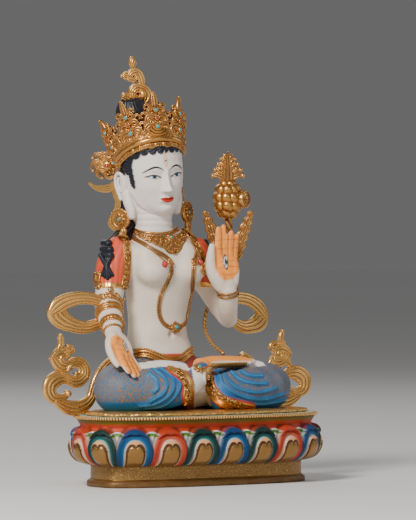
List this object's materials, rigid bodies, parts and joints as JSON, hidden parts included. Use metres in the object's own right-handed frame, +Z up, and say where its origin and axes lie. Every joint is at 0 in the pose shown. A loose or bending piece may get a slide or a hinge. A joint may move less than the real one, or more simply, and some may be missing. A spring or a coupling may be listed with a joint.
{
  "type": "tara figure",
  "caption": "Seated White Tara on a lotus throne, right hand giving, left hand holding a lotus; a cast, gilded and painted devotional statue that stands on its flat base.",
  "frame": {"origin": "the middle of the throne's flat underside", "axes": "+Z up, the figure faces -Y, and her own left hand is on the +X side"},
  "size_m": [0.2606, 0.1465, 0.3312],
  "materials": {
    "throne_paint": "satin paint in blue, green and orange-red over aged gilding",
    "figure_paint": "satin white paint with blue cloth, black hair and gilded borders",
    "gilt": "burnished gilding, darker in the hollows"
  },
  "bodies": {
    "root": {"lotus_throne": "throne_paint", "figure_body": "figure_paint", "crown": "gilt", "topknot_finial": "gilt", "lotus_flower": "gilt", "lap_stem": "gilt", "earring_right": "gilt", "earring_left": "gilt", "crown_ribbon_right": "gilt", "crown_ribbon_left": "gilt", "elbow_scarf_right": "gilt", "elbow_scarf_left": "gilt", "side_scroll_right": "gilt", "side_scroll_left": "gilt"}
  },
  "joints": []
}
